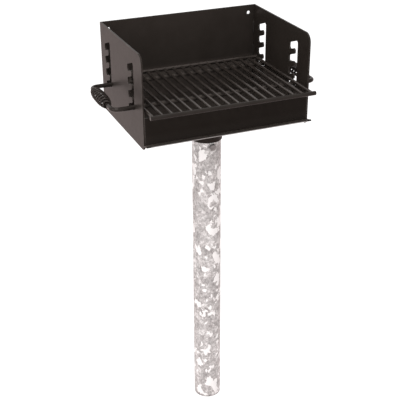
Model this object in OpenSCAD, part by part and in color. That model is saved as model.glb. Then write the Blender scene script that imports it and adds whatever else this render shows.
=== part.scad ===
/* [Post] */
// Outer diameter of the galvanised post
post_od = 88.9; // [80:0.1:100]
// Wall of the post
post_wall = 5.5; // [4:0.1:7]
// Length of the post from its foot to its top face
post_len = 1022; // [700:1:1400]

/* [Firebox] */
// Width over the two side plates
box_w = 510; // [460:1:560]
// Depth of a side plate from its front edge to its back edge
box_d = 367; // [350:1:420]
// Height of a side plate
box_h = 271; // [262:1:320]
// Thickness of every firebox plate
plate_t = 4.8; // [4:0.1:6]
// How far the side plates reach below the floor plate
side_drop = 10.7; // [8:0.1:14]
// Depth from the front edge of the side plates to the post axis
post_setback = 161; // [140:1:180]
// Radius of the upper front corner of a side plate
top_corner_r = 27; // [10:1:40]
// Radius of the lower front corner of a side plate
low_corner_r = 11; // [4:1:14]
// Height of the low front plate above the floor plate
front_plate_h = 80.5; // [60:0.5:82]
// How far the floor lip reaches in front of the side plates
lip_reach = 25; // [15:1:35]
// How far the floor lip rises over its reach
lip_rise = 6.5; // [0:0.5:10]
// Diameter of the two holes in the back plate
hang_hole_d = 11; // [8:0.5:14]
// Distance of a hole from the outer face of the side plate beside it
hang_hole_side = 24; // [18:1:40]
// Distance of a hole from the top edge of the back plate
hang_hole_top = 24; // [18:1:40]

/* [Height slots] */
// Distance of the front slot from the front edge of a side plate
slot_setback = 68.5; // [60:0.5:76]
// Distance of the back slot's notches from the back edge of a side plate
slot_back_room = 39.5; // [34:0.5:60]
// Height of the slot's lowest corner above the bottom of the side plate
slot_low = 79; // [74:0.5:84]
// Width of the upright channel
channel_w = 17; // [14:0.5:18]
// Depth of a notch behind the channel
notch_depth = 34; // [28:0.5:38]
// Height of a notch
notch_h = 21; // [17:0.5:23]
// Slope of the notches, down towards the back
notch_slope = 20; // [10:1:24]
// Distance of a slot's top from the top edge of the side plate
slot_head_room = 37; // [30:0.5:45]
// Number of notches
notch_count = 4; // [2:1:4]
// Radius of the rounded tooth tips
tooth_r = 7; // [3:0.5:7.5]
// Radius of the lower back corner of a notch
notch_low_r = 7; // [4:0.5:7.5]
// Radius of the upper back corner of a notch
notch_high_r = 5; // [3:0.5:6]
// Radius of the upper front corner of a slot
slot_top_r = 7; // [3:0.5:9]
// Radius of the lower front corner of a slot
slot_foot_r = 3; // [2:0.5:5]

/* [Grate] */
// Diameter of the lift rods and their handles
rod_d = 12.7; // [11:0.1:13]
// Diameter of a grate bar
bar_d = 9.5; // [8:0.1:12]
// Number of grate bars
bar_count = 18; // [12:1:22]
// Distance of the outermost grate bars from the outer faces of the side plates
side_bar_inset = 14; // [12:0.5:20]
// Diameter of the front bar
front_bar_d = 12.7; // [11:0.1:14]
// Diameter of the back bar
back_bar_d = 12.7; // [11:0.1:14]
// Distance of a front bar end from the outer face of the side plate
front_bar_inset = 4.5; // [2:0.5:8]
// Gap between a back bar end and the side plate
back_bar_gap = 4.2; // [2:0.1:7]
// Depth from the front lift rod forward to the front bar
front_overhang = 126.5; // [120:0.1:140]
// Depth from the back lift rod back to the back bar
back_overhang = 40.8; // [20:0.1:42]

/* [Handles] */
// Reach of a handle from the outer face of the side plate to its centreline
handle_reach = 60.4; // [52:0.1:80]
// Centreline radius of the handle bends
bend_r = 18; // [14:0.5:24]
// Gap between the front end of a spring grip and the handle's front bend
grip_front_room = 26.5; // [8:0.5:40]
// Gap between the back end of a spring grip and the handle's back bend
grip_back_room = 10.5; // [8:0.5:30]
// Diameter over the middle of a spring grip
grip_od = 37; // [32:0.5:40]
// Diameter of the spring wire
wire_d = 5; // [4:0.1:5.5]
// Length of a spring grip that one turn of its wire takes, rounded to whole turns
coil_pitch = 14.5; // [12:0.1:18]

/* [Swivel] */
// Thickness of the plate welded under the floor
pad_t = 6.35; // [5:0.05:8]
// Width of the plate under the floor
pad_w = 152; // [120:1:200]
// Depth of the plate under the floor
pad_d = 127; // [110:1:160]
// Outer diameter of the collar round the post
collar_od = 96; // [95:0.5:104]
// Length of the collar
collar_len = 68; // [50:1:70]
// Length of the spigot tube inside the post
spigot_len = 134; // [110:1:160]
// Wall of the spigot tube
spigot_wall = 9; // [8:0.1:12]
// Distance of the retaining bolt below the top of the post
bolt_drop = 82; // [80:0.5:90]
// Diameter of the retaining bolt
bolt_d = 12; // [10:0.5:12]
// Size across the flats of the bolt head
bolt_flats = 19; // [17:0.5:21]
// Height of the bolt head
bolt_head_h = 8; // [6:0.5:10]
// Depth of the bolt groove in the spigot tube
groove_depth = 5; // [4:0.1:6]
// Clearance of the bolt in its groove on every side
groove_gap = 0.75; // [0.5:0.05:1]
// Radial clearance of the collar and the spigot on the post
swivel_gap = 0.4; // [0.3:0.05:0.6]

/* [Hidden] */
// Gap between a loose piece and its seat
seat_gap = 0.3;
// Gap between a lift rod and the teeth that it passes
tooth_gap = 0.8;
// Gap between two welded rods
weld_gap = 0.05;
// Overrun of every cut
over = 1;
// How far the circle of a round passes the sides that it joins, so that they cross cleanly
cross_over = 0.03;
$fn = 64;

rod_r = rod_d / 2;
wire_r = wire_d / 2;
post_r = post_od / 2;
post_bore_r = post_r - post_wall;

// Heights in the firebox frame: bottom of the side plates is zero
floor_low = side_drop;
floor_top = floor_low + plate_t;
pad_low = floor_low - pad_t;
box_z = post_len - pad_low;
inner_w = box_w - 2 * plate_t;

// A slot: its depth, its fall per length, and the height of a notch's front end over its back end
slot_depth = channel_w + notch_depth;
slot_fall = tan(notch_slope);
notch_rise = slot_fall * notch_depth;
slot_rise = slot_fall * slot_depth;
slot_spacing = box_d - slot_back_room - slot_depth - slot_setback;
notch_pitch = (box_h - slot_head_room - slot_low - slot_rise - notch_h) / (notch_count - 1);
tooth_h = notch_pitch - notch_h;
tip_room = 1 / tan(45 - notch_slope / 2) + 1 / tan(45 + notch_slope / 2);
tip_r = min(tooth_r, tooth_h / tip_room);

// The lift rods rest on the bottoms of the slots, in the channels in front of the teeth
rod_depth = channel_w - tooth_gap - rod_r;
rod_z = slot_low + slot_fall * (slot_depth - rod_depth) + (rod_r + seat_gap) / cos(notch_slope);
front_rod_y = slot_setback + rod_depth;
back_rod_y = front_rod_y + slot_spacing;
front_bar_y = front_rod_y - front_overhang;
back_bar_y = back_rod_y + back_overhang;
bar_z = rod_z + rod_r + weld_gap + bar_d / 2;
bar_start = front_bar_y + front_bar_d / 2 + weld_gap;
bar_len = back_bar_y - back_bar_d / 2 - weld_gap - bar_start;
bar_pitch = (box_w - 2 * side_bar_inset) / (bar_count - 1);

// Swivel sizes
collar_bore_r = post_r + swivel_gap;
spigot_r = post_bore_r - swivel_gap;
groove_r = spigot_r - groove_depth;
bolt_tip_r = groove_r + groove_gap;
bolt_z = post_len - bolt_drop;
bolt_head_y = post_r + weld_gap;

// Spring grip: rings per turn, sides of the wire and centreline radii
ring_step = 8;
wire_sides = 6;
grip_len = slot_spacing - 2 * bend_r - grip_front_room - grip_back_room;
grip_turns = round((grip_len - wire_d) / coil_pitch);
ring_count = grip_turns * ring_step;
grip_end_r = (rod_r + seat_gap + wire_r) / cos(180 / ring_step);
grip_mid_r = grip_od / 2 - wire_r;
grip_span = grip_len - wire_d;
barrel_power = 3;

function grip_r(share) =
    grip_mid_r - (grip_mid_r - grip_end_r) * pow(abs(2 * share - 1), barrel_power);
function grip_turn(share) = [
    grip_r(share) * cos(360 * grip_turns * share),
    grip_span * (share - 0.5),
    grip_r(share) * sin(360 * grip_turns * share)
];
function unit(v) = v / norm(v);
function side_run(share, side) = [
    -side * sin(360 * grip_turns * share), 0, side * cos(360 * grip_turns * share)
];

// Centreline of the grip with a straight end, one wire diameter long, at each end
grip_path = concat(
    [grip_turn(0) + wire_d * side_run(0, -1)],
    [for (i = [0 : ring_count]) grip_turn(i / ring_count)],
    [grip_turn(1) + wire_d * side_run(1, 1)]
);
last_ring = len(grip_path) - 1;
function run_at(i) = unit(grip_path[min(i + 1, last_ring)] - grip_path[max(i - 1, 0)]);
function out_at(i) =
    let (p = grip_path[i], q = [p[0], 0, p[2]], t = run_at(i))
    unit(q - (q * t) * t);
function wire_ring(i) =
    let (p = grip_path[i], n = out_at(i), b = cross(run_at(i), n))
    [for (k = [0 : wire_sides - 1])
        p + wire_r * (cos(360 * k / wire_sides) * n + sin(360 * k / wire_sides) * b)];
wire_points = [for (i = [0 : last_ring]) each wire_ring(i)];
function wire_quad(i, k) =
    let (a = i * wire_sides + k, b = i * wire_sides + (k + 1) % wire_sides)
    [[a, b, b + wire_sides], [a, b + wire_sides, a + wire_sides]];
wire_faces = concat(
    [for (i = [0 : last_ring - 1], k = [0 : wire_sides - 1]) each wire_quad(i, k)],
    [for (k = [1 : wire_sides - 2]) [0, k + 1, k]],
    [for (k = [1 : wire_sides - 2])
        [for (corner = [0, k, k + 1]) last_ring * wire_sides + corner]]
);
grip_gaps = [for (i = [0 : last_ring], j = [i + ring_step - 2 : 1 : last_ring])
    norm(grip_path[i] - grip_path[j]) - wire_d];
echo(least_gap_of_grip = min(grip_gaps));

bar_names = [for (i = [1 : bar_count]) str("grate_bar_", i < 10 ? "0" : "", i)];

// Places its children in the firebox frame: left face, front edge, bottom of the side plates
module in_box() {
    translate([-box_w / 2, -post_setback, box_z]) children();
}

// Turns a drawing of depth and height into a plate that stands across the width
module upright(width) {
    rotate([90, 0, 90]) linear_extrude(width) children();
}

module tube(outer_r, inner_r, length) {
    difference() {
        cylinder(r = outer_r, h = length);
        translate([0, 0, -over]) cylinder(r = inner_r, h = length + 2 * over);
    }
}

module post_pipe() {
    color("silver") difference() {
        tube(post_r, post_bore_r, post_len);
        translate([0, 0, bolt_z]) rotate([90, 0, 0])
            cylinder(r = bolt_d / 2 + weld_gap, h = post_od);
    }
}

module retaining_bolt() {
    color("dimgray") translate([0, 0, bolt_z]) rotate([90, 0, 0]) {
        translate([0, 0, bolt_tip_r])
            cylinder(d = bolt_d, h = bolt_head_y + bolt_head_h / 2 - bolt_tip_r);
        translate([0, 0, bolt_head_y]) rotate([0, 0, 30])
            cylinder(r = bolt_flats / 2 / cos(30), h = bolt_head_h, $fn = 6);
    }
}

function along(angle) = [cos(angle), sin(angle)];

// What a round of radius r takes away from a corner whose sides leave it at two angles
module corner(r, first = 0, last = 90) {
    half = (last - first) / 2;
    centre = r / sin(half) * along(first + half);
    difference() {
        polygon([
            -over / sin(half) * along(first + half),
            r / tan(half) * along(first) + over * along(first - 90),
            centre,
            r / tan(half) * along(last) + over * along(last + 90)
        ]);
        translate(centre) circle(r + cross_over);
    }
}

// Corners of one notch behind the channel, and of the tooth over it, except at the top
function notch_points(i) = concat(
    [[slot_depth, i * notch_pitch], [slot_depth, i * notch_pitch + notch_h]],
    i == notch_count - 1 ? [] : [
        [channel_w, i * notch_pitch + notch_h + notch_rise],
        [channel_w, (i + 1) * notch_pitch + notch_rise]
    ]
);

// Outline of a height slot: an upright channel in front and sloping notches behind it
module slot() {
    head = [0, (notch_count - 1) * notch_pitch + notch_h + slot_rise];
    difference() {
        polygon(concat(
            [[0, slot_rise]],
            [for (i = [0 : notch_count - 1]) each notch_points(i)],
            [head]
        ));
        translate([0, slot_rise]) corner(slot_foot_r, -notch_slope, 90);
        translate(head) corner(slot_top_r, -90, -notch_slope);
        for (i = [0 : notch_count - 1]) {
            translate(notch_points(i)[0]) corner(notch_low_r, 90, 180 - notch_slope);
            translate(notch_points(i)[1]) corner(notch_high_r, 180 - notch_slope, 270);
        }
    }
    for (i = [0 : 1 : notch_count - 2]) {
        translate(notch_points(i)[2]) corner(tip_r, -notch_slope, 90);
        translate(notch_points(i)[3]) corner(tip_r, -90, -notch_slope);
    }
}

module side_plate() {
    upright(plate_t) difference() {
        square([box_d, box_h]);
        corner(low_corner_r);
        translate([0, box_h]) mirror([0, 1]) corner(top_corner_r);
        for (back = [0, slot_spacing])
            translate([slot_setback + back, slot_low]) slot();
    }
}

module left_side_plate() {
    color([0.16, 0.16, 0.16]) in_box() side_plate();
}

module right_side_plate() {
    color([0.16, 0.16, 0.16]) in_box() translate([box_w - plate_t, 0, 0]) side_plate();
}

module back_plate() {
    color([0.14, 0.14, 0.14]) in_box() difference() {
        translate([plate_t, box_d - plate_t, floor_low])
            cube([inner_w, plate_t, box_h - floor_low]);
        for (x = [hang_hole_side, box_w - hang_hole_side])
            translate([x, box_d + over, box_h - hang_hole_top]) rotate([90, 0, 0])
                cylinder(d = hang_hole_d, h = plate_t + 2 * over);
    }
}

module front_plate() {
    color([0.14, 0.14, 0.14]) in_box()
        translate([plate_t, 0, floor_top]) cube([inner_w, plate_t, front_plate_h]);
}

module floor_plate() {
    color([0.14, 0.14, 0.14]) in_box() {
        translate([plate_t, 0, floor_low]) cube([inner_w, box_d - plate_t, plate_t]);
        upright(box_w) polygon([
            [0, floor_low],
            [0, floor_top],
            [-lip_reach, floor_top + lip_rise],
            [-lip_reach, floor_low + lip_rise]
        ]);
    }
}

module reinforcing_plate() {
    color([0.14, 0.14, 0.14]) translate([-pad_w / 2, -pad_d / 2, post_len])
        cube([pad_w, pad_d, pad_t]);
}

module swivel_collar() {
    color([0.16, 0.16, 0.16]) translate([0, 0, post_len - collar_len])
        tube(collar_od / 2, collar_bore_r, collar_len);
}

module spigot_tube() {
    groove_h = bolt_d + 2 * groove_gap;
    color("gray") difference() {
        translate([0, 0, post_len - spigot_len])
            tube(spigot_r, spigot_r - spigot_wall, spigot_len);
        translate([0, 0, bolt_z - groove_h / 2])
            tube(spigot_r + over, groove_r, groove_h);
    }
}

// One leg of a handle rod, from the middle of the grate to the start of its bend
module handle_leg(y) {
    translate([bend_r - handle_reach, y, rod_z]) rotate([0, 90, 0])
        cylinder(r = rod_r, h = box_w / 2 + handle_reach - bend_r);
}

module handle_bend(y, turn) {
    translate([bend_r - handle_reach, y, rod_z]) rotate([0, 0, turn])
        rotate_extrude(angle = 90) translate([bend_r, 0]) circle(rod_r);
}

module handle_rod() {
    handle_leg(front_rod_y);
    handle_leg(back_rod_y);
    handle_bend(front_rod_y + bend_r, 180);
    handle_bend(back_rod_y - bend_r, 90);
    translate([-handle_reach, front_rod_y + bend_r, rod_z]) rotate([-90, 0, 0])
        cylinder(r = rod_r, h = slot_spacing - 2 * bend_r);
}

module left_handle_rod() {
    color([0.2, 0.2, 0.2]) in_box() handle_rod();
}

module right_handle_rod() {
    color([0.2, 0.2, 0.2]) mirror([1, 0, 0]) in_box() handle_rod();
}

module spring_grip() {
    translate([-handle_reach, front_rod_y + bend_r + grip_front_room + grip_len / 2, rod_z])
        polyhedron(points = wire_points, faces = wire_faces);
}

module left_spring_grip() {
    color([0.28, 0.28, 0.28]) in_box() spring_grip();
}

module right_spring_grip() {
    color([0.28, 0.28, 0.28]) mirror([1, 0, 0]) in_box() spring_grip();
}

module cross_bar(y, d, length) {
    color([0.2, 0.2, 0.2]) in_box() translate([(box_w - length) / 2, y, bar_z])
        rotate([0, 90, 0]) cylinder(d = d, h = length);
}

module front_bar() {
    cross_bar(front_bar_y, front_bar_d, box_w - 2 * front_bar_inset);
}

module back_bar() {
    cross_bar(back_bar_y, back_bar_d, inner_w - 2 * back_bar_gap);
}

module grate_bar(i) {
    color([0.2, 0.2, 0.2]) in_box() translate([side_bar_inset + i * bar_pitch, bar_start, bar_z])
        rotate([-90, 0, 0]) cylinder(d = bar_d, h = bar_len);
}

post_pipe();
retaining_bolt();
left_side_plate();
right_side_plate();
back_plate();
front_plate();
floor_plate();
reinforcing_plate();
swivel_collar();
spigot_tube();
left_handle_rod();
right_handle_rod();
left_spring_grip();
right_spring_grip();
front_bar();
back_bar();
for (i = [0 : bar_count - 1])
    grate_bar(i);
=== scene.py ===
"""Looks of a park grill: black enamelled firebox and grate on a galvanised post."""

import math
import random

import bpy
from mathutils import Matrix, Vector


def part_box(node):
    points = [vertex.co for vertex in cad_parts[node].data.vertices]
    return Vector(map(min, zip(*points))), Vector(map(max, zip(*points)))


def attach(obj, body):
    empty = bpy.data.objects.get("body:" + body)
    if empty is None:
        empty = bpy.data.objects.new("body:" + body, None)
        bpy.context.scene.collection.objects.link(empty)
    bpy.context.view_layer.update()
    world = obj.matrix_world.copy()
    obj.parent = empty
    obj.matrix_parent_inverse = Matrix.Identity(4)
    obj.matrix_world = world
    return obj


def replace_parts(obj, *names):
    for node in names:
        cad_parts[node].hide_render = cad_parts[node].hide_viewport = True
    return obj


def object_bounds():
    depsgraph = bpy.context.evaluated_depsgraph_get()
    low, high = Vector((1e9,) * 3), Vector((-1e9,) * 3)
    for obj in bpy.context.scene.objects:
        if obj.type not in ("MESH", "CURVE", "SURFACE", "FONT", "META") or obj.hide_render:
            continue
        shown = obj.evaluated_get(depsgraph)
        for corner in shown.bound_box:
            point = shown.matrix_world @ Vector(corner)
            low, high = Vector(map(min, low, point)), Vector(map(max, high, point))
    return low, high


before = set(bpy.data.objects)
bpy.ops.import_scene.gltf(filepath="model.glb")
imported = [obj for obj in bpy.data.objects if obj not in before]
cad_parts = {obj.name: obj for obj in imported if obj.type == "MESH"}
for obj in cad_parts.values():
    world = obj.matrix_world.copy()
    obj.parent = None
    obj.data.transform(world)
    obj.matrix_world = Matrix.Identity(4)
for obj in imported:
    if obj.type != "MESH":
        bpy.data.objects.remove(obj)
cad_low, cad_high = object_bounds()
MM = 0.001

# Camera of the photograph, measured from the firebox's left front bottom corner
CAMERA_OFFSET = Vector((-0.7310, -2.1733, 0.9986))
CAMERA_YAW = math.radians(22.429)
CAMERA_PITCH = math.radians(26.709)
CAMERA_ROLL = math.radians(-0.432)
FOCAL_PIXELS = 902.0
FRAME_PIXELS = 400
SENSOR_WIDTH = 36.0

GRATE_BARS = sorted(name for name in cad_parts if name.startswith("grate_bar_"))

# How far the edges of the pieces are rounded
EDGE_ROUND = 0.7 * MM
TUBE_ROUND = 1.0 * MM
POST_ROUND = 0.8 * MM
BAR_ROUND = 0.9 * MM
ROD_ROUND = 0.4 * MM
BOLT_ROUND = 0.3 * MM
SHANK_ROUND = 0.6 * MM
FOLD_RADIUS = 5 * MM

# The studio's white as the gloss shows it, and colours that several finishes use
STUDIO_WARM = (1.0, 0.975, 0.965, 1.0)
FLOOR_WARM = (1.0, 0.80, 0.77, 1.0)
WHITE = (1.0, 1.0, 1.0, 1.0)
ENAMEL_GLOSS = (1.0, 0.88, 0.84, 1.0)
# Lighter grey painted inside the firebox below the grate, as painted light in its shade
FILL_LIGHT_GREY = (0.068, 0.0568, 0.0502, 1.0)
# Lighter grey painted on the front plate's foot, as painted light in the corner's shade
FOOT_FILL_GREY = (0.023, 0.0192, 0.0166, 1.0)
# Black painted on the lip's front edge above and at its ends, to keep its painted highlight thin
LINE_TRIM_BLACK = (0.010, 0.0085, 0.0075, 1.0)
BRIGHT_ZINC = (0.91, 0.90, 0.898, 1.0)

# Scale and depth of the enamel's orange peel on plates and on bars
PLATE_PEEL = (420.0, 0.05 * MM)
BAR_PEEL = (600.0, 0.04 * MM)


def middle(node):
    low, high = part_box(node)
    return (low + high) / 2


# Places that the pieces share, all read from the frame
left_plate_low, left_plate_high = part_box("left_side_plate")
right_plate_low, right_plate_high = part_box("right_side_plate")
back_plate_low, back_plate_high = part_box("back_plate")
front_plate_low, front_plate_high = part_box("front_plate")
floor_low, floor_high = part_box("floor_plate")
collar_low, collar_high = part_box("swivel_collar")
post_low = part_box("post_pipe")[0]
rod_low, rod_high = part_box("left_handle_rod")
front_bar_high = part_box("front_bar")[1]
back_bar_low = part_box("back_bar")[0]
bar_low, bar_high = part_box(GRATE_BARS[0])
floor_top = front_plate_low.z
plate_thickness = left_plate_high.x - left_plate_low.x
rod_radius = (rod_high.z - rod_low.z) / 2
rod_height = (rod_high.z + rod_low.z) / 2
rod_lines = (rod_low.y + rod_radius, rod_high.y - rod_radius)
bar_radius = (bar_high.x - bar_low.x) / 2


def select_only(piece):
    bpy.ops.object.select_all(action="DESELECT")
    bpy.context.view_layer.objects.active = piece
    piece.select_set(True)


def finish_piece(piece, name, body, material):
    """Names a piece, puts its place in its mesh and gives it its body, and its finish if one is
    given.
    """
    select_only(piece)
    bpy.ops.object.transform_apply(location=True, rotation=True, scale=True)
    piece.name = name
    piece.data.name = name
    if material:
        piece.data.materials.clear()
        piece.data.materials.append(material)
    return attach(piece, body)


def join_as(pieces, name):
    """Joins pieces into one under a new name."""
    select_only(pieces[0])
    for piece in pieces:
        piece.select_set(True)
    bpy.ops.object.join()
    piece = bpy.context.active_object
    piece.name = name
    return piece


def smooth(piece, degrees=50):
    """Smooth shading over the rounded edges, while the large faces stay flat."""
    select_only(piece)
    bpy.ops.object.shade_smooth_by_angle(angle=math.radians(degrees))
    flat = piece.modifiers.new("flat_faces", "WEIGHTED_NORMAL")
    flat.keep_sharp = True
    flat.weight = 100
    bpy.ops.object.modifier_apply(modifier=flat.name)


def new_material(name):
    """A material with its nodes, links and shader, and the piece's own coordinates."""
    material = bpy.data.materials.new(name)
    material.use_nodes = True
    nodes, links = material.node_tree.nodes, material.node_tree.links
    coordinates = nodes.new("ShaderNodeTexCoord").outputs["Object"]
    return material, nodes, links, nodes["Principled BSDF"], coordinates


def add_noise(nodes, links, coordinates, scale, detail, roughness=0.5, stretch=None):
    """A noise pattern on the piece's own coordinates, stretched along an axis if asked."""
    source = coordinates
    if stretch:
        mapping = nodes.new("ShaderNodeMapping")
        mapping.inputs["Scale"].default_value = stretch
        links.new(coordinates, mapping.inputs["Vector"])
        source = mapping.outputs["Vector"]
    noise = nodes.new("ShaderNodeTexNoise")
    noise.inputs["Scale"].default_value = scale
    noise.inputs["Detail"].default_value = detail
    noise.inputs["Roughness"].default_value = roughness
    links.new(source, noise.inputs["Vector"])
    return noise


def add_ramp(nodes, links, value, stops):
    ramp = nodes.new("ShaderNodeValToRGB")
    elements = ramp.color_ramp.elements
    while len(elements) < len(stops):
        elements.new(0.5)
    for element, (position, colour) in zip(elements, stops):
        element.position = position
        element.color = (*colour, 1.0)
    links.new(value, ramp.inputs["Fac"])
    return ramp


def add_range(nodes, links, value, low, high):
    spread = nodes.new("ShaderNodeMapRange")
    spread.inputs["To Min"].default_value = low
    spread.inputs["To Max"].default_value = high
    links.new(value, spread.inputs["Value"])
    return spread.outputs["Result"]


def add_bump(nodes, links, shader, height, distance, strength, below=None):
    bump = nodes.new("ShaderNodeBump")
    bump.inputs["Distance"].default_value = distance
    bump.inputs["Strength"].default_value = strength
    links.new(height, bump.inputs["Height"])
    if below:
        links.new(below.outputs["Normal"], bump.inputs["Normal"])
    links.new(bump.outputs["Normal"], shader.inputs["Normal"])
    return bump


def add_step(nodes, links, value, start, end):
    """A smooth rise from zero at start to one at end."""
    step = nodes.new("ShaderNodeMapRange")
    step.interpolation_type = "SMOOTHSTEP"
    step.inputs["From Min"].default_value = start
    step.inputs["From Max"].default_value = end
    links.new(value, step.inputs["Value"])
    return step.outputs["Result"]


def add_product(nodes, links, first, second):
    product = nodes.new("ShaderNodeMath")
    product.operation = "MULTIPLY"
    links.new(first, product.inputs[0])
    links.new(second, product.inputs[1])
    return product.outputs["Value"]


def add_larger(nodes, links, first, second):
    larger = nodes.new("ShaderNodeMath")
    larger.operation = "MAXIMUM"
    links.new(first, larger.inputs[0])
    links.new(second, larger.inputs[1])
    return larger.outputs["Value"]


def add_mix(nodes, links, share, first, second):
    """The first colour, with the second over it where share is one."""
    mix = nodes.new("ShaderNodeMix")
    mix.data_type = "RGBA"
    mix.inputs["B"].default_value = second
    links.new(share, mix.inputs["Factor"])
    links.new(first, mix.inputs["A"])
    return mix.outputs["Result"]


def split_place(nodes, links, coordinates):
    """The distance from the middle plane, the depth and the height of each point."""
    place = nodes.new("ShaderNodeSeparateXYZ")
    links.new(coordinates, place.inputs["Vector"])
    beside = nodes.new("ShaderNodeMath")
    beside.operation = "ABSOLUTE"
    links.new(place.outputs["X"], beside.inputs[0])
    return beside.outputs["Value"], place.outputs["Y"], place.outputs["Z"]


def add_painted_fill_light(nodes, links, coordinates, black):
    """Between the floor and the grate, inside the firebox, the enamel is painted a lighter grey:
    painted light where the bars and plates shade it.
    """
    beside, depth, height = split_place(nodes, links, coordinates)
    inner_side = -left_plate_high.x + 1.5 * MM
    inside = add_step(nodes, links, beside, inner_side, inner_side - 1 * MM)
    back = back_plate_low.y
    before_back = add_step(nodes, links, depth, back + 2 * MM, back + 1 * MM)
    under = add_step(nodes, links, height, rod_high.z + 12 * MM, rod_high.z - 16 * MM)
    above = add_step(nodes, links, height, floor_top - 2 * MM, floor_top - 1 * MM)
    fill_share = add_product(nodes, links, add_product(nodes, links, inside, before_back), under)
    fill_share = add_product(nodes, links, fill_share, above)
    return add_mix(nodes, links, fill_share, black, FILL_LIGHT_GREY)


def add_painted_foot_light(nodes, links, coordinates, black):
    """The foot of the front plate painted lighter, fading out upwards: painted light against the
    shade in the corner above the lip.
    """
    height = split_place(nodes, links, coordinates)[2]
    fill_height = 36 * MM
    foot_fill = add_step(nodes, links, height, floor_top + fill_height, floor_top)
    return add_mix(nodes, links, foot_fill, black, FOOT_FILL_GREY)


def black_enamel(name, dark, light, rough, peel, shine=0.13, light_paint=None):
    """Baked black enamel: cloudy colour, uneven gloss, fine orange peel over a wavy plate."""
    material, nodes, links, shader, coordinates = new_material(name)
    clouds = add_noise(nodes, links, coordinates, scale=14.0, detail=4.0, roughness=0.6)
    colour = add_ramp(nodes, links, clouds.outputs["Fac"], [(0.3, dark), (0.75, light)])
    colour = colour.outputs["Color"]
    # Where asked, painted light or shade goes onto the enamel's colour here
    if light_paint:
        colour = light_paint(nodes, links, coordinates, colour)
    links.new(colour, shader.inputs["Base Color"])
    gloss = add_noise(nodes, links, coordinates, scale=55.0, detail=5.0, roughness=0.6)
    links.new(add_range(nodes, links, gloss.outputs["Fac"], *rough), shader.inputs["Roughness"])
    wave = add_noise(nodes, links, coordinates, scale=9.0, detail=2.0, roughness=0.4)
    first = add_bump(nodes, links, shader, wave.outputs["Fac"], 0.5 * MM, 0.35)
    peel_scale, peel_depth = peel
    peel_noise = add_noise(nodes, links, coordinates, scale=peel_scale, detail=2.0)
    add_bump(nodes, links, shader, peel_noise.outputs["Fac"], peel_depth, 0.5, first)
    shader.inputs["Specular IOR Level"].default_value = shine
    shader.inputs["Specular Tint"].default_value = ENAMEL_GLOSS
    return material


def edge_wear_and_highlight(name):
    """Edge of a plate, lighter in patches: partly thin enamel with the grey steel showing through,
    partly a painted highlight along the edge.
    """
    material, nodes, links, shader, coordinates = new_material(name)
    wear_and_highlight_patches = add_noise(nodes, links, coordinates, scale=60.0, detail=6.0, roughness=0.65)
    colour = add_ramp(
        nodes, links, wear_and_highlight_patches.outputs["Fac"],
        [(0.42, (0.012, 0.011, 0.010)), (0.56, (0.045, 0.041, 0.039)), (0.72, (0.16, 0.15, 0.145))],
    )
    links.new(colour.outputs["Color"], shader.inputs["Base Color"])
    links.new(add_range(nodes, links, wear_and_highlight_patches.outputs["Fac"], 0.3, 0.5), shader.inputs["Roughness"])
    shader.inputs["Metallic"].default_value = 0.35
    return material


def lip_edge_steel_and_highlight(name):
    """Sheared front edge of the lip: bright below, black above and at its ends. The bright part is
    bare steel and also a painted highlight along the edge; the black keeps that bright line thin.
    """
    material, nodes, links, shader, coordinates = new_material(name)
    rub = add_noise(
        nodes, links, coordinates, scale=40.0, detail=5.0, roughness=0.6,
        stretch=(0.25, 1.0, 1.0),
    )
    steel = add_ramp(
        nodes, links, rub.outputs["Fac"],
        [(0.3, (0.16, 0.152, 0.148)), (0.5, (0.29, 0.280, 0.275)), (0.75, (0.43, 0.417, 0.411))],
    )
    beside, _, height = split_place(nodes, links, coordinates)
    reach = right_plate_high.x
    ends = add_step(nodes, links, beside, reach - 16 * MM, reach - 11 * MM)
    bright_line_top = floor_high.z - 0.5 * plate_thickness
    upper = add_step(nodes, links, height, bright_line_top - 0.4 * MM, bright_line_top + 0.4 * MM)
    dark = add_larger(nodes, links, ends, upper)
    colour = add_mix(nodes, links, dark, steel.outputs["Color"], LINE_TRIM_BLACK)
    links.new(colour, shader.inputs["Base Color"])
    links.new(add_range(nodes, links, rub.outputs["Fac"], 0.35, 0.6), shader.inputs["Roughness"])
    shader.inputs["Metallic"].default_value = 0.5
    shader.inputs["Specular IOR Level"].default_value = 0.25
    return material


# The zinc's crystals stand a little aslant and tall, and no bright one hides the bolt
WARP_REACH = (0.022, 0.022, 0.026)
CRYSTAL_PLACE = (0.37, 0.53, 0.95)
CRYSTAL_SLANT = (0.5, 0.35, 0.0)
CRYSTAL_STRETCH = (1.0, 1.0, 0.78)


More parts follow.
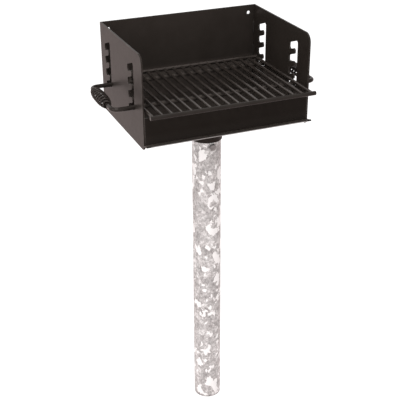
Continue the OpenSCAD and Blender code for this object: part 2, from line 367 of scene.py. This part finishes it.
def galvanised(name):
    """Hot-dip zinc: grey crystal patches under fine flecks, with bright blotches among them."""
    material, nodes, links, shader, coordinates = new_material(name)
    warp = add_noise(nodes, links, coordinates, scale=55.0, detail=7.0, roughness=0.70)
    shift = nodes.new("ShaderNodeVectorMath")
    shift.operation = "MULTIPLY_ADD"
    shift.inputs[1].default_value = WARP_REACH
    links.new(warp.outputs["Color"], shift.inputs[0])
    links.new(coordinates, shift.inputs[2])
    tall = nodes.new("ShaderNodeMapping")
    tall.inputs["Location"].default_value = CRYSTAL_PLACE
    tall.inputs["Rotation"].default_value = CRYSTAL_SLANT
    tall.inputs["Scale"].default_value = CRYSTAL_STRETCH
    links.new(shift.outputs["Vector"], tall.inputs["Vector"])

    def crystals(scale, metric, share):
        """Random crystal cells, and a mask of the share of them that is bright."""
        cells = nodes.new("ShaderNodeTexVoronoi")
        cells.distance = metric
        cells.inputs["Scale"].default_value = scale
        links.new(tall.outputs["Vector"], cells.inputs["Vector"])
        split = nodes.new("ShaderNodeSeparateColor")
        links.new(cells.outputs["Color"], split.inputs["Color"])
        bright = nodes.new("ShaderNodeMath")
        bright.operation = "GREATER_THAN"
        bright.inputs[1].default_value = 1 - share
        links.new(split.outputs["Green"], bright.inputs[0])
        return split, bright.outputs["Value"]

    large_bright = crystals(47.0, "CHEBYCHEV", 0.13)[1]
    small, small_bright = crystals(105.0, "EUCLIDEAN", 0.07)
    cloud = add_noise(nodes, links, coordinates, scale=36.0, detail=7.0, roughness=0.76)
    tone = add_ramp(
        nodes, links, cloud.outputs["Fac"],
        [
            (0.38, (0.355, 0.343, 0.340)),
            (0.50, (0.495, 0.480, 0.476)),
            (0.62, (0.675, 0.659, 0.655)),
        ],
    )
    patch = add_ramp(
        nodes, links, small.outputs["Red"],
        [(0.0, (0.88, 0.87, 0.87)), (1.0, (1.10, 1.10, 1.10))],
    )
    grain = add_noise(nodes, links, tall.outputs["Vector"], scale=150.0, detail=9.0, roughness=0.80)
    fleck = add_ramp(
        nodes, links, grain.outputs["Fac"],
        [(0.42, (0.62, 0.61, 0.61)), (0.50, (1.0, 1.0, 1.0)), (0.58, (1.32, 1.32, 1.33))],
    )

    def times(first, second):
        product = nodes.new("ShaderNodeMix")
        product.data_type = "RGBA"
        product.blend_type = "MULTIPLY"
        product.inputs["Factor"].default_value = 1.0
        links.new(first, product.inputs["A"])
        links.new(second, product.inputs["B"])
        return product.outputs["Result"]

    grey = times(times(tone.outputs["Color"], patch.outputs["Color"]), fleck.outputs["Color"])
    bright = add_larger(nodes, links, large_bright, small_bright)
    height = split_place(nodes, links, shift.outputs["Vector"])[2]
    warp_rise = 12 * MM
    foot = post_low.z + warp_rise
    above_foot = add_step(nodes, links, height, foot + 7 * MM, foot + 8 * MM)
    cut_end = add_step(nodes, links, height, foot - 2 * MM, foot + 9 * MM)
    end_tone = add_ramp(
        nodes, links, cut_end,
        [(0.0, (0.74, 0.73, 0.73)), (1.0, (1.0, 1.0, 1.0))],
    )
    grey = times(grey, end_tone.outputs["Color"])
    bright = add_product(nodes, links, bright, above_foot)
    links.new(add_mix(nodes, links, bright, grey, BRIGHT_ZINC), shader.inputs["Base Color"])
    links.new(add_range(nodes, links, small.outputs["Red"], 0.34, 0.58), shader.inputs["Roughness"])
    frost = add_noise(nodes, links, coordinates, scale=260.0, detail=4.0, roughness=0.6)
    add_bump(nodes, links, shader, frost.outputs["Fac"], 0.15 * MM, 0.4)
    shader.inputs["Metallic"].default_value = 0.25
    return material


def zinc_bolt(name):
    """Dull zinc plating with dark stains."""
    material, nodes, links, shader, coordinates = new_material(name)
    stain = add_noise(nodes, links, coordinates, scale=240.0, detail=5.0, roughness=0.6)
    colour = add_ramp(
        nodes, links, stain.outputs["Fac"],
        [(0.3, (0.165, 0.153, 0.151)), (0.7, (0.33, 0.310, 0.306))],
    )
    links.new(colour.outputs["Color"], shader.inputs["Base Color"])
    links.new(add_range(nodes, links, stain.outputs["Fac"], 0.35, 0.6), shader.inputs["Roughness"])
    add_bump(nodes, links, shader, stain.outputs["Fac"], 0.1 * MM, 0.4)
    shader.inputs["Metallic"].default_value = 0.4
    return material


def greased_steel(name):
    """Bare turned steel with the fine rings of the lathe under its grease."""
    material, nodes, links, shader, coordinates = new_material(name)
    turning = add_noise(
        nodes, links, coordinates, scale=60.0, detail=4.0, roughness=0.6,
        stretch=(1.0, 1.0, 14.0),
    )
    colour = add_ramp(
        nodes, links, turning.outputs["Fac"],
        [(0.3, (0.14, 0.13, 0.125)), (0.7, (0.30, 0.285, 0.275))],
    )
    links.new(colour.outputs["Color"], shader.inputs["Base Color"])
    links.new(add_range(nodes, links, turning.outputs["Fac"], 0.25, 0.45), shader.inputs["Roughness"])
    shader.inputs["Metallic"].default_value = 0.8
    return material


# The plate enamels carry the painted fill light inside the firebox below the grate
plate_enamel = black_enamel(
    "plate_enamel", dark=(0.0148, 0.0117, 0.0098), light=(0.0200, 0.0162, 0.0137),
    rough=(0.34, 0.44), peel=PLATE_PEEL, shine=0.125, light_paint=add_painted_fill_light,
)
# A copy of the plate enamel painted lighter for the back plate: painted light
back_lit_enamel = black_enamel(
    "back_lit_enamel", dark=(0.0185, 0.0150, 0.0127), light=(0.0247, 0.0204, 0.0176),
    rough=(0.36, 0.46), peel=PLATE_PEEL, shine=0.12, light_paint=add_painted_fill_light,
)
# A copy of the plate enamel painted darker for the front plate: painted shade
front_shaded_enamel = black_enamel(
    "front_shaded_enamel", dark=(0.0093, 0.0074, 0.0061), light=(0.0125, 0.0101, 0.0084),
    rough=(0.40, 0.50), peel=PLATE_PEEL, shine=0.06, light_paint=add_painted_foot_light,
)
grate_enamel = black_enamel(
    "grate_enamel", dark=(0.019, 0.0152, 0.0130), light=(0.028, 0.0230, 0.0200),
    rough=(0.16, 0.24), peel=BAR_PEEL, shine=0.44,
)
cross_enamel = black_enamel(
    "cross_enamel", dark=(0.012, 0.0098, 0.0084), light=(0.019, 0.0160, 0.0140),
    rough=(0.16, 0.24), peel=BAR_PEEL, shine=0.16,
)
# Inside the firebox the rods carry the same painted fill light
rod_enamel = black_enamel(
    "rod_enamel", dark=(0.012, 0.0098, 0.0084), light=(0.019, 0.0160, 0.0140),
    rough=(0.16, 0.24), peel=BAR_PEEL, shine=0.18, light_paint=add_painted_fill_light,
)
wire_enamel = black_enamel(
    "wire_enamel", dark=(0.013, 0.0105, 0.0090), light=(0.021, 0.0175, 0.0155),
    rough=(0.26, 0.36), peel=(700.0, 0.04 * MM), shine=0.24,
)
collar_enamel = black_enamel(
    "collar_enamel", dark=(0.0165, 0.0130, 0.0110), light=(0.0220, 0.0178, 0.0152),
    rough=(0.34, 0.44), peel=PLATE_PEEL, shine=0.10,
)
weld_enamel = black_enamel(
    "weld_enamel", dark=(0.012, 0.0105, 0.0095), light=(0.022, 0.019, 0.017),
    rough=(0.34, 0.52), peel=(500.0, 0.12 * MM),
)
# The floor's top inside is painted lighter than the plates: painted light, so the floor seen in shade
# between the bars is not black
hearth_lightened_enamel = black_enamel(
    "hearth_lightened_enamel", dark=(0.026, 0.0212, 0.0182), light=(0.034, 0.0282, 0.0248),
    rough=(0.55, 0.70), peel=(300.0, 0.10 * MM), shine=0.1,
)
# The lip's top is painted lighter than the plates: painted light for the shade in the corner by the
# fold
lip_lightened_enamel = black_enamel(
    "lip_lightened_enamel", dark=(0.043, 0.0360, 0.0315), light=(0.055, 0.0460, 0.0405),
    rough=(0.40, 0.52), peel=(400.0, 0.06 * MM), shine=0.12,
)
edge_enamel = edge_wear_and_highlight("edge_enamel")
lip_steel = lip_edge_steel_and_highlight("lip_steel")
post_zinc = galvanised("post_zinc")
bolt_zinc = zinc_bolt("bolt_zinc")
spigot_steel = greased_steel("spigot_steel")


MERGE_DISTANCE = 0.002 * MM
FLAT_ANGLE = math.radians(0.5)
SHARP_ANGLE = math.radians(40)


def solid_copy(node):
    """A merged copy of a CAD node's mesh, with its flat faces whole, ready to be shaped."""
    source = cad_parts[node]
    piece = bpy.data.objects.new(node + "_copy", source.data.copy())
    bpy.context.scene.collection.objects.link(piece)
    select_only(piece)
    bpy.ops.object.mode_set(mode="EDIT")
    bpy.ops.mesh.select_all(action="SELECT")
    bpy.ops.mesh.remove_doubles(threshold=MERGE_DISTANCE)
    bpy.ops.mesh.dissolve_limited(angle_limit=FLAT_ANGLE, delimit=set())
    bpy.ops.object.mode_set(mode="OBJECT")
    return piece


def round_edges(piece, width, edge_material=None):
    """Rounds the sharp edges and gives the rounding its own finish if asked."""
    bevel = piece.modifiers.new("rounded_edges", "BEVEL")
    bevel.width = width
    bevel.segments = 2
    bevel.limit_method = "ANGLE"
    bevel.angle_limit = SHARP_ANGLE
    bevel.use_clamp_overlap = True
    if edge_material:
        piece.data.materials.append(edge_material)
        bevel.material = 1
    select_only(piece)
    bpy.ops.object.modifier_apply(modifier=bevel.name)


def dress(node, name, body, material, width=EDGE_ROUND, edge_material=None):
    """Replaces a CAD node by a copy of it with rounded edges and its finish."""
    piece = solid_copy(node)
    piece.data.materials.clear()
    piece.data.materials.append(material)
    round_edges(piece, width, edge_material)
    finish_piece(piece, name, body, None)
    smooth(piece)
    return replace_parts(piece, node)


def dress_floor_plate():
    """The floor plate with a rounded fold where its lip turns up, and a bright front edge: bare steel
    with a painted highlight.
    """
    piece = solid_copy("floor_plate")
    piece.data.materials.clear()
    piece.data.materials.append(plate_enamel)
    select_only(piece)
    bpy.ops.object.mode_set(mode="EDIT")
    bpy.ops.mesh.select_mode(type="EDGE")
    bpy.ops.mesh.select_all(action="DESELECT")
    bpy.ops.object.mode_set(mode="OBJECT")
    fold = left_plate_low.y
    long_edge = 100 * MM
    for edge in piece.data.edges:
        start, end = (piece.data.vertices[i].co for i in edge.vertices)
        at_fold = abs(start.y - fold) < 0.1 * MM and abs(end.y - fold) < 0.1 * MM
        edge.select = at_fold and abs(start.x - end.x) > long_edge
    bpy.ops.object.mode_set(mode="EDIT")
    bpy.ops.mesh.bevel(offset=FOLD_RADIUS, segments=4, affect="EDGES")
    bpy.ops.object.mode_set(mode="OBJECT")
    round_edges(piece, EDGE_ROUND, edge_enamel)
    for material in (lip_steel, hearth_lightened_enamel, lip_lightened_enamel):
        piece.data.materials.append(material)
    sheared, hearth, lip = 2, 3, 4
    front = floor_low.y + 2 * EDGE_ROUND
    inner = fold + FOLD_RADIUS
    # The hearth and the lip take enamels painted lighter, as painted light for their shade
    for face in piece.data.polygons:
        if face.center.y < front and face.normal.y < -0.3:
            face.material_index = sheared
        elif face.normal.z > 0.9 and face.center.y > inner:
            face.material_index = hearth
        elif face.normal.z > 0.8 and front < face.center.y < inner:
            face.material_index = lip
    finish_piece(piece, "floor_plate_with_lip", "firebox", None)
    smooth(piece)
    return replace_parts(piece, "floor_plate")


def wire_curve(name, points, radius, scales=None, sides=4, closed=False):
    """A round wire along points, as a mesh; scales swell or thin it point by point."""
    curve = bpy.data.curves.new(name, "CURVE")
    curve.dimensions = "3D"
    curve.bevel_depth = radius
    curve.bevel_resolution = sides
    curve.use_fill_caps = not closed
    spline = curve.splines.new("POLY")
    spline.points.add(len(points) - 1)
    for i, point in enumerate(points):
        spline.points[i].co = (*point, 1.0)
        spline.points[i].radius = scales[i] if scales else 1.0
    spline.use_cyclic_u = closed
    piece = bpy.data.objects.new(name, curve)
    bpy.context.scene.collection.objects.link(piece)
    select_only(piece)
    bpy.ops.object.convert(target="MESH")
    return bpy.context.active_object


GRIP_TURNS = 9.0
STEPS_PER_TURN = 40
BARREL_POWER = 3
WIRE_RADIUS = 2.5 * MM
COIL_CLEARANCE = 0.15 * MM


def spring_grip(side, name, node):
    """A barrel-shaped grip wound from one wire round the handle's middle."""
    low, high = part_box(node)
    centre = (low + high) / 2
    length = high.y - low.y - 2 * WIRE_RADIUS
    widest = (high.z - low.z) / 2 - WIRE_RADIUS
    narrow = rod_radius + WIRE_RADIUS + COIL_CLEARANCE
    count = int(GRIP_TURNS * STEPS_PER_TURN)
    points = []
    for i in range(count + 1):
        share = i / count
        radius = widest - (widest - narrow) * abs(2 * share - 1) ** BARREL_POWER
        turn = 2 * math.pi * GRIP_TURNS * share
        points.append(Vector((
            side * radius * math.cos(turn) + centre.x,
            (share - 0.5) * length + centre.y,
            radius * math.sin(turn) + rod_height,
        )))
    piece = wire_curve(name, points, WIRE_RADIUS, sides=5)
    finish_piece(piece, name, "grate", wire_enamel)
    smooth(piece, 60)
    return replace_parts(piece, node)


RIPPLE_STEP = 1.1 * MM
line_wander = random.Random(3)
ring_wander = random.Random(5)


def ripple(i, wander):
    """How far a weld bead swells or thins at its next point."""
    return 1.0 + 0.09 * (i % 2) + wander.uniform(-0.05, 0.05)


def weld_line(start, end, radius):
    """A weld bead from start to end with the ripples that the torch leaves."""
    start, end = Vector(start), Vector(end)
    count = max(4, int((end - start).length / RIPPLE_STEP))
    points, scales = [], []
    for i in range(count + 1):
        share = i / count
        points.append(start.lerp(end, share))
        taper = min(1.0, 0.55 + 6 * min(share, 1 - share))
        scales.append(taper * ripple(i, line_wander))
    return wire_curve("weld", points, radius, scales, sides=2)


def weld_ring(centre, ring_radius, radius):
    """A closed weld bead round a centre."""
    count = int(2 * math.pi * ring_radius / RIPPLE_STEP)
    points = [
        centre + ring_radius * Vector((math.cos(a), math.sin(a), 0))
        for a in (2 * math.pi * i / count for i in range(count))
    ]
    scales = [ripple(i, ring_wander) for i in range(count)]
    return wire_curve("weld", points, radius, scales, sides=2, closed=True)


def weld_spot(place, size, wander):
    """A small lump of weld metal, a little different each time."""
    bpy.ops.mesh.primitive_ico_sphere_add(subdivisions=2, radius=1.0, location=place)
    spot = bpy.context.active_object
    spot.scale = size
    spot.rotation_euler = (0, 0, wander.uniform(-0.3, 0.3))
    for vertex in spot.data.vertices:
        vertex.co *= 1.0 + wander.uniform(-0.07, 0.07)
    bpy.ops.object.transform_apply(location=True, rotation=True, scale=True)
    return spot


def grate_welds():
    """Welds of every bar to the two lift rods under it and to the front and back bars."""
    wander = random.Random(11)
    spots = []
    bar_height = middle(GRATE_BARS[0]).z
    seam = rod_height + rod_radius
    rod_spot = (2.6 * MM, 4.2 * MM, 1.9 * MM)
    bar_spot = (2.2 * MM, 2.4 * MM, 3.6 * MM)
    for node in GRATE_BARS:
        x = middle(node).x
        for y in rod_lines:
            for side in (-1, 1):
                place = (x + side * 0.75 * bar_radius, y, seam + 0.2 * MM)
                spots.append(weld_spot(place, rod_spot, wander))
        for y in (front_bar_high.y - 0.3 * MM, back_bar_low.y + 0.3 * MM):
            for side in (-1, 1):
                place = (x + side * 0.8 * bar_radius, y, bar_height + 0.1 * MM)
                spots.append(weld_spot(place, bar_spot, wander))
    piece = join_as(spots, "grate_welds")
    finish_piece(piece, "grate_welds", "grate", weld_enamel)
    smooth(piece, 60)


def firebox_welds():
    """Fillet welds in the corners of the firebox and round the collar."""
    lines = []
    inset = 1.0 * MM
    bead = 3.0 * MM
    stitch, pitch = 38 * MM, 75 * MM
    from_floor, from_top = 12 * MM, 8 * MM
    from_front, from_lip = 14 * MM, 40 * MM
    wide_pitch = 1.5 * pitch
    sides = (left_plate_high.x + inset, right_plate_low.x - inset)
    back = back_plate_low.y - inset
    front = front_plate_high.y + inset
    above = floor_top + inset
    under = floor_top - plate_thickness - inset
    for x in sides:
        z = above + from_floor
        while z + stitch < back_plate_high.z - from_top:
            lines.append(weld_line((x, back, z), (x, back, z + stitch), bead))
            z += pitch
        y = left_plate_low.y + from_front
        while y + stitch < back_plate_low.y:
            lines.append(weld_line((x, y, above), (x, y + stitch, above), bead))
            y += pitch
        foot, top = above + 8 * MM, front_plate_high.z - 6 * MM
        lines.append(weld_line((x, front, foot), (x, front, top), bead))
    for x in sides:
        y = left_plate_low.y + from_lip
        while y + stitch < back_plate_low.y:
            lines.append(weld_line((x, y, under), (x, y + stitch, under), bead))
            y += wide_pitch
    pad_low, pad_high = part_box("reinforcing_plate")
    z = pad_high.z - inset
    for start, end in (
        ((pad_low.x, pad_low.y, z), (pad_high.x, pad_low.y, z)),
        ((pad_low.x, pad_high.y, z), (pad_high.x, pad_high.y, z)),
        ((pad_low.x, pad_low.y, z), (pad_low.x, pad_high.y, z)),
        ((pad_high.x, pad_low.y, z), (pad_high.x, pad_high.y, z)),
    ):
        lines.append(weld_line(start, end, bead))
    collar_radius = (collar_high.x - collar_low.x) / 2
    ring_inset = 0.6 * MM
    ring_centre = Vector((0, 0, collar_high.z - ring_inset))
    lines.append(weld_ring(ring_centre, collar_radius + ring_inset, bead))
    piece = join_as(lines, "firebox_welds")
    finish_piece(piece, "firebox_welds", "firebox", weld_enamel)
    smooth(piece)


def retaining_bolt():
    """Hexagon bolt with a chamfered head, seated on the post."""
    low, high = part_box("retaining_bolt")
    seat = post_low.y
    centre = (low + high) / 2
    head_height = seat - low.y
    head_place = (centre.x, seat - head_height / 2, centre.z)
    quarter_turn = math.radians(90)
    twelfth_turn = math.radians(30)
    play = 0.02 * MM
    flats = (high.x - low.x) / 2 - play
    bpy.ops.mesh.primitive_cylinder_add(
        vertices=6, radius=flats / math.cos(twelfth_turn), depth=head_height,
        location=head_place, rotation=(quarter_turn, 0, 0),
    )
    head = bpy.context.active_object
    select_only(head)
    bpy.ops.object.mode_set(mode="EDIT")
    bpy.ops.mesh.select_all(action="SELECT")
    bpy.ops.transform.rotate(value=twelfth_turn, orient_axis="Y", center_override=centre)
    bpy.ops.object.mode_set(mode="OBJECT")
    bpy.ops.object.transform_apply(location=True, rotation=True, scale=True)
    chamfer_foot, chamfer_top = 1.75 * flats, 0.93 * flats
    bpy.ops.mesh.primitive_cone_add(
        vertices=48, radius1=chamfer_foot, radius2=chamfer_top, depth=head_height,
        location=head_place, rotation=(quarter_turn, 0, 0),
    )
    cone = bpy.context.active_object
    cut = head.modifiers.new("chamfer", "BOOLEAN")
    cut.operation = "INTERSECT"
    cut.solver = "EXACT"
    cut.object = cone
    select_only(head)
    bpy.ops.object.modifier_apply(modifier=cut.name)
    bpy.data.objects.remove(cone)
    round_edges(head, BOLT_ROUND)
    shank_radius = 6 * MM
    inside_head = 1 * MM
    bpy.ops.mesh.primitive_cylinder_add(
        vertices=32, radius=shank_radius, depth=high.y - seat + inside_head,
        location=(centre.x, (seat + high.y - inside_head) / 2, centre.z),
        rotation=(quarter_turn, 0, 0),
    )
    shank = bpy.context.active_object
    select_only(shank)
    bpy.ops.object.transform_apply(location=True, rotation=True, scale=True)
    round_edges(shank, SHANK_ROUND)
    piece = join_as([head, shank], "hex_bolt")
    finish_piece(piece, "hex_bolt", "post", bolt_zinc)
    smooth(piece, 30)
    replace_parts(piece, "retaining_bolt")


for plate, enamel in (
    ("left_side_plate", plate_enamel),
    ("right_side_plate", plate_enamel),
    ("back_plate", back_lit_enamel),
    ("front_plate", front_shaded_enamel),
    ("reinforcing_plate", plate_enamel),
):
    dress(plate, plate + "_enamelled", "firebox", enamel, EDGE_ROUND, edge_enamel)
dress_floor_plate()
dress("swivel_collar", "collar_enamelled", "firebox", collar_enamel,
      TUBE_ROUND, edge_enamel)
dress("spigot_tube", "spigot_turned", "firebox", spigot_steel, TUBE_ROUND)
dress("post_pipe", "post_galvanised", "post", post_zinc, POST_ROUND)
for bar in GRATE_BARS:
    dress(bar, bar + "_rod", "grate", grate_enamel, BAR_ROUND)
dress("front_bar", "front_bar_rod", "grate", cross_enamel, BAR_ROUND)
dress("back_bar", "back_bar_rod", "grate", grate_enamel, BAR_ROUND)
for rod in ("left_handle_rod", "right_handle_rod"):
    dress(rod, rod + "_bent", "grate", rod_enamel, ROD_ROUND)
spring_grip(1, "left_grip_coil", "left_spring_grip")
spring_grip(-1, "right_grip_coil", "right_spring_grip")
retaining_bolt()
grate_welds()
firebox_welds()


def seen_rays(nodes, links):
    """One for camera, glossy and transmission rays, and zero for the rest."""
    path = nodes.new("ShaderNodeLightPath")
    seen = add_larger(nodes, links, path.outputs["Is Camera Ray"], path.outputs["Is Glossy Ray"])
    return add_larger(nodes, links, seen, path.outputs["Is Transmission Ray"])


def white_or_warm(nodes, links, warm):
    """Pure white for the camera, and the slightly warm white of the studio in the gloss."""
    path = nodes.new("ShaderNodeLightPath")
    tint = nodes.new("ShaderNodeMix")
    tint.data_type = "RGBA"
    tint.inputs["A"].default_value = warm
    tint.inputs["B"].default_value = WHITE
    links.new(path.outputs["Is Camera Ray"], tint.inputs["Factor"])
    return tint.outputs["Result"]


FLOOR_SIZE = 60.0
FLOOR_GREY = (0.62, 0.62, 0.62, 1)
SHADOW_GREY = (0.30, 0.30, 0.30, 1)
FLOOR_GLOW = 0.90
SKY_LIGHT, SKY_SEEN = 0.90, 1.02


def pale_floor():
    """A floor that shows white with a soft shadow, and throws plain grey light on the grill."""
    bpy.ops.mesh.primitive_plane_add(size=FLOOR_SIZE, location=(0, 0, cad_low.z))
    floor = bpy.context.active_object
    floor.name = "studio_floor"
    material = bpy.data.materials.new("studio_white")
    material.use_nodes = True
    nodes, links = material.node_tree.nodes, material.node_tree.links
    nodes.clear()
    plain = nodes.new("ShaderNodeBsdfDiffuse")
    plain.inputs["Color"].default_value = FLOOR_GREY
    shade = nodes.new("ShaderNodeBsdfDiffuse")
    shade.inputs["Color"].default_value = SHADOW_GREY
    glow = nodes.new("ShaderNodeEmission")
    glow.inputs["Strength"].default_value = FLOOR_GLOW
    links.new(white_or_warm(nodes, links, FLOOR_WARM), glow.inputs["Color"])
    both = nodes.new("ShaderNodeAddShader")
    links.new(shade.outputs["BSDF"], both.inputs[0])
    links.new(glow.outputs["Emission"], both.inputs[1])
    mix = nodes.new("ShaderNodeMixShader")
    links.new(seen_rays(nodes, links), mix.inputs["Fac"])
    links.new(plain.outputs["BSDF"], mix.inputs[1])
    links.new(both.outputs["Shader"], mix.inputs[2])
    out = nodes.new("ShaderNodeOutputMaterial")
    links.new(mix.outputs["Shader"], out.inputs["Surface"])
    floor.data.materials.append(material)


def white_world():
    """An even white studio, a little brighter to the eye than the light that it gives."""
    world = bpy.data.worlds.new("studio")
    bpy.context.scene.world = world
    world.use_nodes = True
    nodes, links = world.node_tree.nodes, world.node_tree.links
    background = nodes["Background"]
    links.new(white_or_warm(nodes, links, STUDIO_WARM), background.inputs["Color"])
    strength = add_range(nodes, links, seen_rays(nodes, links), SKY_LIGHT, SKY_SEEN)
    links.new(strength, background.inputs["Strength"])


def soft_lamp(name, place, target, size, watts):
    """A square lamp at place that shines on target."""
    light = bpy.data.lights.new(name, "AREA")
    light.shape = "SQUARE"
    light.size = size
    light.energy = watts
    lamp = bpy.data.objects.new(name, light)
    bpy.context.scene.collection.objects.link(lamp)
    lamp.location = place
    lamp.rotation_mode = "QUATERNION"
    lamp.rotation_quaternion = (Vector(target) - Vector(place)).to_track_quat("-Z", "Y")


def photo_camera():
    """The photograph's camera, from its measured place and angles."""
    corner = left_plate_low.copy()
    forward = Vector((
        math.sin(CAMERA_YAW) * math.cos(CAMERA_PITCH),
        math.cos(CAMERA_YAW) * math.cos(CAMERA_PITCH),
        -math.sin(CAMERA_PITCH),
    ))
    level = Vector((math.cos(CAMERA_YAW), -math.sin(CAMERA_YAW), 0))
    above = level.cross(forward)
    right = math.cos(CAMERA_ROLL) * level + math.sin(CAMERA_ROLL) * above
    up = -math.sin(CAMERA_ROLL) * level + math.cos(CAMERA_ROLL) * above
    data = bpy.data.cameras.new("photo_camera")
    data.sensor_width = SENSOR_WIDTH
    data.lens = FOCAL_PIXELS / FRAME_PIXELS * SENSOR_WIDTH
    data.clip_start = 0.05
    data.clip_end = 100.0
    camera = bpy.data.objects.new("photo_camera", data)
    bpy.context.scene.collection.objects.link(camera)
    turn = Matrix((right, up, -forward)).transposed().to_4x4()
    camera.matrix_world = Matrix.Translation(corner + CAMERA_OFFSET) @ turn
    bpy.context.scene.camera = camera


pale_floor()
white_world()
hearth = middle("floor_plate")
post_middle = hearth - Vector((0, 0, 0.5))
soft_lamp("overhead_lamp", hearth + Vector((-0.8, -0.9, 2.1)), hearth, size=1.0, watts=37)
soft_lamp("left_lamp", hearth + Vector((-2.6, -1.0, 0.6)), post_middle, size=1.4, watts=19)
soft_lamp("front_lamp", hearth + Vector((-1.5, -2.5, 0.1)), post_middle, size=1.8, watts=11)
photo_camera()
bpy.context.scene.view_settings.view_transform = "Standard"
